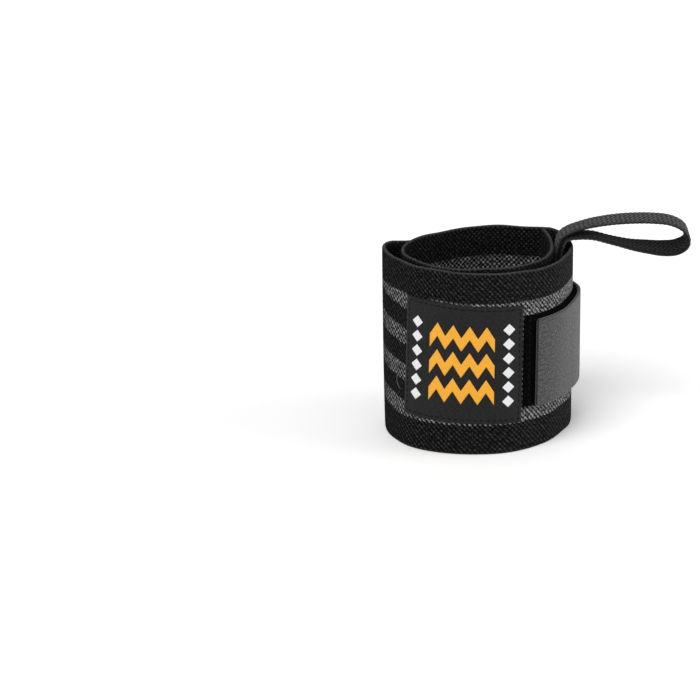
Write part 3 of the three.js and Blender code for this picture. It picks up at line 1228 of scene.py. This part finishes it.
@dataclass
class LabelPattern:
    """The label's generic pattern: orange zigzag bands between two rows of white diamonds."""

    label: Label
    raised: float = 0.14 * MM
    sunk: float = 0.03 * MM
    rows: int = 8
    zigzags: int = 4
    fold_steps: int = 12
    bands: int = 3
    band_length: float = 26 * MM
    band_height: float = 5.6 * MM
    band_rise: float = 5.2 * MM
    band_pitch: float = 11.2 * MM
    band_colour: tuple[float, float, float] = (0.8, 0.37, 0.03)
    diamonds: int = 6
    diamond_size: float = 5 * MM
    diamond_gap: float = 1.1 * MM
    diamond_inset: float = 6.2 * MM
    diamond_steps: int = 12
    diamond_tip: float = 0.02
    diamond_colour: tuple[float, float, float] = (0.72, 0.72, 0.72)

    def strip(self, name: str, along: np.ndarray, low: np.ndarray, high: np.ndarray) -> bpy.types.Object:
        """One raised area of the label.

        Args:
            name: the area's name.
            along: lengths along the label.
            low: its lower line, one height for each length.
            high: its upper line.

        Returns:
            The area's object.
        """
        rows = np.linspace(0, 1, self.rows + 1)[None, :]
        grid_up = low[:, None] * (1 - rows) + high[:, None] * rows
        grid_along = np.repeat(along[:, None], rows.shape[1], axis=1)
        base = self.label.face - self.sunk
        front = self.label.points(grid_along, grid_up, np.full_like(grid_up, base + self.raised))
        back = self.label.points(grid_along, grid_up, np.full_like(grid_up, base))
        surface = np.stack([grid_along, grid_up], axis=-1)
        return closed_sheet(name, front, back, surface, np.zeros_like(grid_up))

    def zigzag_band(self, index: int) -> bpy.types.Object:
        """One orange band, folded up and down along its length.

        Args:
            index: its place from the bottom.

        Returns:
            The band's object.
        """
        share = np.linspace(0, 1, self.fold_steps * self.zigzags + 1)
        along = self.label.length / 2 + (share - 0.5) * self.band_length
        fold = 1 - 2 * np.abs(share * self.zigzags % 1 - 0.5)
        middle = self.label.height / 2 + (index - (self.bands - 1) / 2) * self.band_pitch
        spine = middle + (fold - 0.5) * self.band_rise
        return self.strip("zigzag", along, spine - self.band_height / 2, spine + self.band_height / 2)

    def diamond(self, place: float, index: int) -> bpy.types.Object:
        """One white diamond of an upright row.

        Args:
            place: the row's length along the label.
            index: the diamond's place from the bottom.

        Returns:
            The diamond's object.
        """
        share = np.linspace(self.diamond_tip, 1 - self.diamond_tip, self.diamond_steps + 1)
        along = place + (share - 0.5) * self.diamond_size
        pitch = self.diamond_size + self.diamond_gap
        middle = self.label.height / 2 + (index - (self.diamonds - 1) / 2) * pitch
        reach = (0.5 - np.abs(share - 0.5)) * self.diamond_size
        return self.strip("diamond", along, middle - reach, middle + reach)

    def build(self) -> list[bpy.types.Object]:
        """Make both colours, each joined into one piece.

        Returns:
            The bands and the diamonds.
        """
        places = (self.diamond_inset, self.label.length - self.diamond_inset)
        bands = [self.zigzag_band(index) for index in range(self.bands)]
        diamonds = [self.diamond(place, index) for place in places for index in range(self.diamonds)]
        orange = MotifFinish("label_orange", self.band_colour).material()
        white = MotifFinish("label_white", self.diamond_colour).material()
        return [joined("label_zigzags", bands, orange), joined("label_diamonds", diamonds, white)]


def joined(name: str, parts: list[bpy.types.Object], material: bpy.types.Material) -> bpy.types.Object:
    """Join several objects into one piece.

    Args:
        name: the piece's name.
        parts: the objects.
        material: the one finish of all of them.

    Returns:
        The piece.
    """
    with bpy.context.temp_override(active_object=parts[0], selected_editable_objects=parts):
        bpy.ops.object.join()
    piece = parts[0]
    piece.name = piece.data.name = name
    piece.data.materials.clear()
    piece.data.materials.append(material)
    return piece


@dataclass
class ClosureTab:
    """The hook tape, sewn on the strap's end and pressed over the pile patch."""

    roll: Roll
    width: float = 37 * MM
    length: float = 118.5 * MM
    thickness: float = 1.3 * MM
    sewn: float = 20 * MM
    drop: float = 1 * MM
    seat_gap: float = 0.3 * MM
    pile: float = 1.5 * MM
    pace: float = 6 * MM
    corner: float = 1.2 * MM
    pitch: float = 0.8 * MM
    soft_edge: float = 0.4 * MM
    edge_places: tuple[float, ...] = (0.0, 0.15 * MM, 0.4 * MM, 1.0 * MM)
    edge_thickness: float = 0.72
    tangent_step: float = 0.5 * MM
    stitch_inset: float = 2.2 * MM

    def route(self, height: float) -> SmoothLine:
        """The tab's middle line at one height.

        Args:
            height: the height above the strap's lower edge.

        Returns:
            The line, from the sewn edge to past the free end.
        """
        on_strap = self.roll.thickness / 2 + self.seat_gap + self.thickness / 2
        on_pile = on_strap + self.pile + self.seat_gap
        share = height / self.roll.width
        under = self.roll.length_at(self.roll.bearing_at(self.roll.length) + FULL_TURN)
        stops = []
        for back in (*np.arange(self.sewn, 0, -self.pace), 0.0):
            stops.append(self.roll.points(self.roll.length - back, share, on_strap))
        for ahead in np.arange(self.pace, self.length - self.sewn + self.pace, self.pace):
            stops.append(self.roll.points(under + ahead, share, on_pile))
        stops = np.array(stops)
        stops[:, 2] = height
        return SmoothLine(stops)

    def at(self, along: np.ndarray, up: np.ndarray, off: np.ndarray) -> np.ndarray:
        """Points over the tab.

        Args:
            along: lengths from its sewn edge.
            up: heights above its lower edge.
            off: ways off its middle, outwards.

        Returns:
            One point for each, in the frame.
        """
        low = (self.roll.width - self.width) / 2 - self.drop
        share = up / self.width
        lines = [self.route(low + level * self.width) for level in (0.0, 0.5, 1.0)]
        weights = [(1 - share) * (1 - 2 * share), 4 * share * (1 - share), share * (2 * share - 1)]

        def spread(step: float) -> np.ndarray:
            """Points a step further along, between the three lines."""
            return sum(
                line.at(along * line.total / lines[1].total + step) * weight[..., None]
                for line, weight in zip(lines, weights)
            )

        way = spread(self.tangent_step) - spread(-self.tangent_step)
        way[..., 2] = 0
        way /= np.linalg.norm(way, axis=-1, keepdims=True)
        outward = np.stack([-way[..., 1], way[..., 0], np.zeros_like(way[..., 0])], axis=-1)
        points = spread(0.0) + outward * off[..., None]
        points[..., 2] = low + up
        return points

    def build(self) -> bpy.types.Object:
        """Make the tab, with rounded front corners and a thin cut edge.

        Returns:
            The tab's object.
        """
        along = edged_samples(self.length, self.pitch, self.edge_places)
        up = edged_samples(self.width, self.pitch, self.edge_places)
        grid_along, grid_up = np.meshgrid(along, up, indexing="ij")
        from_end = self.length - grid_along
        from_side = np.minimum(grid_up, self.width - grid_up)
        inside = np.minimum(np.minimum(grid_along, from_end), from_side)
        edge = 1 - np.clip(inside / self.soft_edge, 0, 1)
        near = np.clip(1 - from_end / self.corner, 0, 1)
        squeeze = 1 - 2 * self.corner * (1 - np.sqrt(1 - near**2)) / self.width
        grid_up = self.width / 2 + (grid_up - self.width / 2) * squeeze
        full = np.sqrt(np.clip(1 - edge**2, 0, 1))
        crown = self.thickness / 2 * (self.edge_thickness + (1 - self.edge_thickness) * full)
        front = self.at(grid_along, grid_up, crown)
        back = self.at(grid_along, grid_up, -crown)
        surface = np.stack([grid_along, grid_up], axis=-1)
        piece = closed_sheet("closure_tab_tape", front, back, surface, edge)
        piece.data.materials.append(HookFinish().material())
        return piece

    def sewing(self) -> list[np.ndarray]:
        """Lines of stitches that hold the tab on the strap's end, a box and a cross.

        Returns:
            The points of each line.
        """
        near, far = self.stitch_inset, self.sewn - self.stitch_inset
        low, high = self.stitch_inset, self.width - self.stitch_inset
        box = [(near, low), (far, low), (far, high), (near, high), (near, low), (far, high)]
        lines = []
        for corners in (box, [(near, high), (far, low)]):
            along, up = stepped_path(corners, STITCH_STEP, even=True).T
            lines.append(self.at(along, up, np.full_like(along, self.thickness / 2 + STITCH_LIFT)))
        return lines


@dataclass
class ThumbLoop:
    """A flat braided tape, from the gap between the turns out over the rim and back."""

    roll: Roll
    width: float = 11 * MM
    thickness: float = 1.5 * MM
    reach: float = 48.5 * MM
    height: float = 13.4 * MM
    bearing: float = 13.0
    sewn_depth: float = 24 * MM
    twist: float = 17.0
    twist_shear: float = 0.2
    seat_gap: float = 0.3 * MM
    rib: float = 1.9 * MM
    courses: int = 4
    course_rows: int = 8
    relief: float = 0.13 * MM
    pitch: float = 0.32 * MM
    tangent_step: float = 0.2 * MM
    edge_turns: tuple[float, ...] = (18.0, 52.0)

    def line(self) -> SmoothLine:
        """The tape's middle line.

        Returns:
            The line, with its twist in degrees as a fourth column.
        """
        roll = self.roll
        seat = roll.thickness / 2 + self.seat_gap + self.thickness / 2
        inner = roll.points(roll.length_at(self.bearing), 0.5, seat)
        outer = roll.points(roll.length_at(self.bearing - FULL_TURN), 1.0, roll.thickness / 2)
        rim = outer[2]

        def foot(gap: float) -> list[tuple[float, float, float, float]]:
            """Stops of one sewn end, from the rim down."""
            return [
                (inner[0] + gap + row.off * self.thickness, inner[1], rim - row.down * self.sewn_depth, 0.0)
                for row in FOOT_ROWS
            ]

        over = [
            (outer[0] + row.out * self.reach, inner[1], rim + row.up * self.height, row.twist * self.twist)
            for row in LOOP_ROWS
        ]
        return SmoothLine(np.array([*foot(self.thickness + self.seat_gap)[::-1], *over, *foot(0.0)]))

    def build(self) -> bpy.types.Object:
        """Make the tape, with a herringbone relief on both faces and rounded edges.

        Returns:
            The tape's object.
        """
        line = self.line()
        rows = self.course_rows * self.courses
        up, off, edge = rounded_section(self.width, self.thickness, rows, self.edge_turns)
        along = np.linspace(0, line.total, int(round(line.total / self.pitch)) + 1)
        stops = line.at(along)
        way = line.at(along + self.tangent_step)[:, :3] - line.at(along - self.tangent_step)[:, :3]
        way /= np.linalg.norm(way, axis=1, keepdims=True)
        tilt = np.radians(stops[:, 3])
        across = np.stack([-self.twist_shear * np.sin(tilt), np.cos(tilt), np.sin(tilt)], axis=1)
        across -= way * np.einsum("ij,ij->i", way, across)[:, None]
        across /= np.linalg.norm(across, axis=1, keepdims=True)
        outward = np.cross(across, way)[:, None, :]
        course = self.width / self.courses
        zigzag = course / 2 - np.abs(up % course - course / 2)
        wave = np.sin((along[:, None] + zigzag) * 2 * math.pi / self.rib)
        thick = (off + self.relief * wave * (edge < 1))[..., None]
        middle = stops[:, None, :3] + (up - self.width / 2)[:, None] * across[:, None, :]
        surface = np.stack(np.meshgrid(along, up, indexing="ij"), axis=-1)
        edges = np.tile(edge, (len(along), 1))
        piece = closed_sheet(
            "thumb_loop_tape", middle + thick * outward, middle - thick * outward, surface, edges
        )
        piece.data.materials.append(BraidFinish(rib=self.rib, course=course / 2).material())
        return piece


@dataclass
class Stitching:
    """Stitches along lines, set out by a node tree and made into one mesh."""

    pitch: float = 2.6 * MM
    length: float = 1.9 * MM
    radius: float = 0.19 * MM
    segments: int = 8
    rings: int = 6
    lines: list[np.ndarray] = field(default_factory=list)

    def add(self, *lines: np.ndarray) -> None:
        """Keep lines to be stitched."""
        self.lines.extend(lines)

    def guide(self) -> bpy.types.Object:
        """Gather all lines.

        Returns:
            One object of bare edges.
        """
        points, edges = [], []
        for line in self.lines:
            first = len(points)
            points.extend(line.tolist())
            edges.extend((first + index, first + index + 1) for index in range(len(line) - 1))
        mesh = bpy.data.meshes.new("stitch_guide")
        mesh.from_pydata(points, edges, [])
        return added("stitch_guide", mesh)

    def tree(self) -> bpy.types.NodeTree:
        """Make the node tree that lays one stitch at each step of every line.

        Returns:
            The node tree.
        """
        tree = bpy.data.node_groups.new("stitch_rows", "GeometryNodeTree")
        sockets = (
            ("Lines", "INPUT", "NodeSocketGeometry"),
            ("Pitch", "INPUT", "NodeSocketFloat"),
            ("Half length", "INPUT", "NodeSocketFloat"),
            ("Radius", "INPUT", "NodeSocketFloat"),
            ("Thread", "INPUT", "NodeSocketMaterial"),
            ("Stitches", "OUTPUT", "NodeSocketGeometry"),
        )
        for name, direction, kind in sockets:
            tree.interface.new_socket(name=name, in_out=direction, socket_type=kind)
        node = tree.nodes.new
        source, sink = node("NodeGroupInput"), node("NodeGroupOutput")
        curve, resample = node("GeometryNodeMeshToCurve"), node("GeometryNodeResampleCurve")
        resample.mode = "LENGTH"
        stitch = node("GeometryNodeMeshUVSphere")
        stitch.inputs["Segments"].default_value = self.segments
        stitch.inputs["Rings"].default_value = self.rings
        stitch.inputs["Radius"].default_value = 1.0
        size = node("ShaderNodeCombineXYZ")
        tangent, turn = node("GeometryNodeInputTangent"), node("FunctionNodeAlignRotationToVector")
        turn.axis = "X"
        lay, real = node("GeometryNodeInstanceOnPoints"), node("GeometryNodeRealizeInstances")
        smooth, dress = node("GeometryNodeSetShadeSmooth"), node("GeometryNodeSetMaterial")
        for first, second in (
            (source.outputs["Lines"], curve.inputs["Mesh"]),
            (curve.outputs["Curve"], resample.inputs["Curve"]),
            (source.outputs["Pitch"], resample.inputs["Length"]),
            (source.outputs["Half length"], size.inputs["X"]),
            (source.outputs["Radius"], size.inputs["Y"]),
            (source.outputs["Radius"], size.inputs["Z"]),
            (tangent.outputs["Tangent"], turn.inputs["Vector"]),
            (resample.outputs["Curve"], lay.inputs["Points"]),
            (stitch.outputs["Mesh"], lay.inputs["Instance"]),
            (turn.outputs["Rotation"], lay.inputs["Rotation"]),
            (size.outputs["Vector"], lay.inputs["Scale"]),
            (lay.outputs["Instances"], smooth.inputs["Geometry"]),
            (smooth.outputs["Geometry"], real.inputs["Geometry"]),
            (real.outputs["Geometry"], dress.inputs["Geometry"]),
            (source.outputs["Thread"], dress.inputs["Material"]),
            (dress.outputs["Geometry"], sink.inputs["Stitches"]),
        ):
            tree.links.new(first, second)
        return tree

    def build(self, name: str, material: bpy.types.Material) -> bpy.types.Object:
        """Make the stitches.

        Args:
            name: the piece's name.
            material: the thread.

        Returns:
            One object with every stitch in its mesh.
        """
        guide = self.guide()
        modifier = guide.modifiers.new("stitch_rows", "NODES")
        modifier.node_group = self.tree()
        values = {"Pitch": self.pitch, "Half length": self.length / 2, "Radius": self.radius}
        values["Thread"] = material
        for item in modifier.node_group.interface.items_tree:
            if item.in_out == "INPUT" and item.name in values:
                modifier[item.identifier] = values[item.name]
        graph = bpy.context.evaluated_depsgraph_get()
        mesh = bpy.data.meshes.new_from_object(guide.evaluated_get(graph), depsgraph=graph)
        mesh.name = name
        bpy.data.objects.remove(guide)
        return added(name, mesh)


@dataclass
class LooseThread:
    """A cut end of thread that stands out from the knit beside the label."""

    label: Label
    radius: float = 0.11 * MM
    sides: int = 6
    beside: float = 2.2 * MM
    height: float = 31 * MM
    reach: float = 3 * MM
    drop: float = 8 * MM
    lift: float = 0.9 * MM
    density: int = 8
    reference: tuple[float, float, float] = (0.0, 1.0, 0.3)

    def build(self, material: bpy.types.Material) -> bpy.types.Object:
        """Make the thread.

        Args:
            material: the thread's finish.

        Returns:
            The thread's object.
        """
        roll = self.label.roll
        past, down, off = np.array(THREAD_ROWS, float).T
        along = self.label.start + self.label.length + self.beside + past * self.reach
        up = (self.height - down * self.drop) / roll.width
        line = SmoothLine(roll.points(along, up, roll.thickness / 2 + off * self.lift), self.density)
        middle = line.samples
        way = np.gradient(middle, axis=0)
        way /= np.linalg.norm(way, axis=1, keepdims=True)
        side = np.cross(way, self.reference)
        side /= np.linalg.norm(side, axis=1, keepdims=True)
        third = np.cross(way, side)
        turn = np.linspace(0, math.pi, self.sides)[None, :, None]
        level, rounded = np.cos(turn) * side[:, None], np.sin(turn) * third[:, None]
        front = middle[:, None] + self.radius * (level + rounded)
        back = middle[:, None] + self.radius * (level - rounded)
        blank = np.zeros(front.shape[:2])
        piece = closed_sheet("loose_thread", front, back, np.zeros((*blank.shape, 2)), blank)
        piece.data.materials.append(material)
        return piece


@dataclass
class Studio:
    """Pale floor, soft light and the camera."""

    roll: Roll
    camera_back: float = 1181.1 * MM
    camera_left: float = 50.9 * MM
    camera_up: float = 427 * MM
    pitch_down: float = 18.5
    focal: float = 154.29
    sensor: float = 36.0
    clip_start: float = 10 * MM
    floor_reach: float = 6.0
    floor_tone: float = 0.93
    sky_strength: float = 0.64
    sun_from: tuple[float, float, float] = (-0.42, -0.7, 0.9)
    sun_softness: float = 0.75
    sun_strength: float = 2.05
    lamp_from: tuple[float, float, float] = (1.0, -0.1, 0.35)
    lamp_to: tuple[float, float, float] = (0.0, 0.0, 0.04)
    lamp_size: float = 0.7
    lamp_power: float = 5.0

    def camera(self) -> None:
        """Set the camera at the photograph's angle."""
        data = bpy.data.cameras.new("camera")
        data.sensor_width = self.sensor
        data.lens = self.focal
        data.clip_start = self.clip_start
        camera = added("camera", data)
        middle = self.roll.shift
        camera.location = (middle[0] - self.camera_left, middle[1] - self.camera_back, self.camera_up)
        camera.rotation_euler = (math.radians(90 - self.pitch_down), 0, 0)
        bpy.context.scene.camera = camera

    def light(self, name: str, kind: str, place: tuple, aim: tuple, power: float) -> bpy.types.Light:
        """Add a light.

        Args:
            name: its name.
            kind: its type.
            place: where it stands.
            aim: the point that it shines at.
            power: its strength.

        Returns:
            The light's own data.
        """
        data = bpy.data.lights.new(name, kind)
        data.energy = power
        lamp = added(name, data)
        lamp.location = place
        lamp.rotation_euler = (Vector(aim) - Vector(place)).to_track_quat("-Z", "Y").to_euler()
        return data

    def floor(self) -> None:
        """Lay the floor."""
        reach = self.floor_reach
        mesh = bpy.data.meshes.new("floor")
        corners = [(-reach, -reach, 0), (reach, -reach, 0), (reach, reach, 0), (-reach, reach, 0)]
        mesh.from_pydata(corners, [], [(0, 1, 2, 3)])
        recipe = Recipe("floor_white", roughness=0.7)
        recipe.colour((self.floor_tone, self.floor_tone, self.floor_tone))
        mesh.materials.append(recipe.material)
        added("floor", mesh)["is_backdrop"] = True

    def build(self) -> None:
        """Make the floor, the sky, the camera and the lights."""
        self.camera()
        self.floor()
        world = bpy.data.worlds.new("studio")
        world.use_nodes = True
        sky = world.node_tree.nodes["Background"]
        sky.inputs["Color"].default_value = (1, 1, 1, 1)
        sky.inputs["Strength"].default_value = self.sky_strength
        bpy.context.scene.world = world
        bpy.context.scene.view_settings.view_transform = "Standard"
        sun = self.light("key_light", "SUN", self.sun_from, (0.0, 0.0, 0.0), self.sun_strength)
        sun.angle = self.sun_softness
        lamp = self.light("right_light", "AREA", self.lamp_from, self.lamp_to, self.lamp_power)
        lamp.shape = "DISK"
        lamp.size = self.lamp_size


def settle(piece: bpy.types.Object, slot: str, *nodes: str) -> None:
    """Hand a finished piece over and report it.

    Args:
        piece: the piece, which the one body carries.
        slot: not used.
        nodes: the nodes of the frame that it stands in place of.
    """
    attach(piece, "root")
    if nodes:
        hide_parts(*nodes)
    LOG.info("%s: %d faces", piece.name, len(piece.data.polygons))


def main() -> None:
    """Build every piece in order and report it."""
    logging.basicConfig(level=logging.INFO, format="%(message)s")
    roll = Roll()
    Studio(roll).build()
    label_start = roll.length_at(LABEL_BEARING - FULL_TURN)
    label = Label(roll=roll, start=label_start)
    pile = PilePatch(roll=roll, start=label_start - PILE_GAP - PilePatch.length)
    strap = Strap(roll)
    tab = ClosureTab(roll)
    seams = Stitching()
    seams.add(label.sewing(), pile.sewing(), *tab.sewing(), *strap.sewing())
    strap_piece = strap.build(strap.finish(label, pile))
    label_piece = label.build(SatinFinish().material())
    motifs = LabelPattern(label).build()
    pile_piece = pile.build(PileFinish().material())
    tab_piece = tab.build()
    loop_piece = ThumbLoop(roll).build()
    seam_piece = seams.build("seam_stitches", ThreadFinish().material())
    loose_piece = LooseThread(label).build(ThreadFinish("loose_thread", tone=0.12).material())
    settle(strap_piece, "knit_elastic", "strap")
    settle(label_piece, "label_satin", "label")
    for motif in motifs:
        settle(motif, "label_satin")
    settle(pile_piece, "pile_velvet", "pile_patch")
    settle(tab_piece, "hook_tape", "closure_tab")
    settle(loop_piece, "loop_elastic", "thumb_loop")
    settle(seam_piece, "knit_elastic")
    settle(loose_piece, "knit_elastic")
    boxes = (("cad", CAD_BOX), ("visual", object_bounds()))
    sizes = {name: [list(map(float, corner)) for corner in box] for name, box in boxes}


if __name__ == "__main__":
    main()
